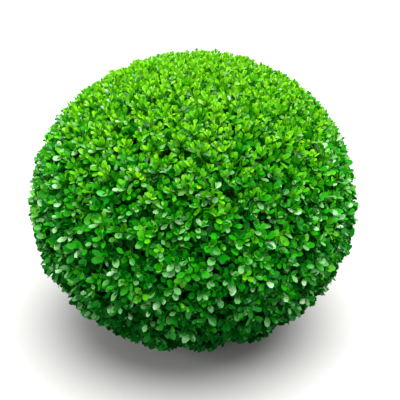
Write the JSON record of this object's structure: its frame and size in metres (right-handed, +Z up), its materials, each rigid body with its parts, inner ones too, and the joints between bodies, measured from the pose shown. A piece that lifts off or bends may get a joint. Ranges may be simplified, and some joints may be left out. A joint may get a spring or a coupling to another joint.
{
  "type": "clipped box topiary ball",
  "caption": "Dense evergreen shrub clipped to a slightly flattened ball, with small oval leaves, on a short hidden trunk with fanned boughs, rooted in level ground.",
  "frame": {"origin": "middle of the flat cut under the trunk, on level ground", "axes": "+Z up; -Y towards the viewer of the picture; +X to the viewer's right"},
  "size_m": [0.6374, 0.6356, 0.5672],
  "materials": {
    "bark": "finely cracked pale grey-brown bark",
    "foliage": "small leathery leaves with a waxy gloss, lime young leaves at the top and darker ones below"
  },
  "bodies": {
    "root": {"trunk": "bark", "leader_bough": "bark", "side_bough_1": "bark", "side_bough_2": "bark", "side_bough_3": "bark", "side_bough_4": "bark", "side_bough_5": "bark", "side_bough_6": "bark", "clipped_foliage": "foliage"}
  },
  "joints": []
}
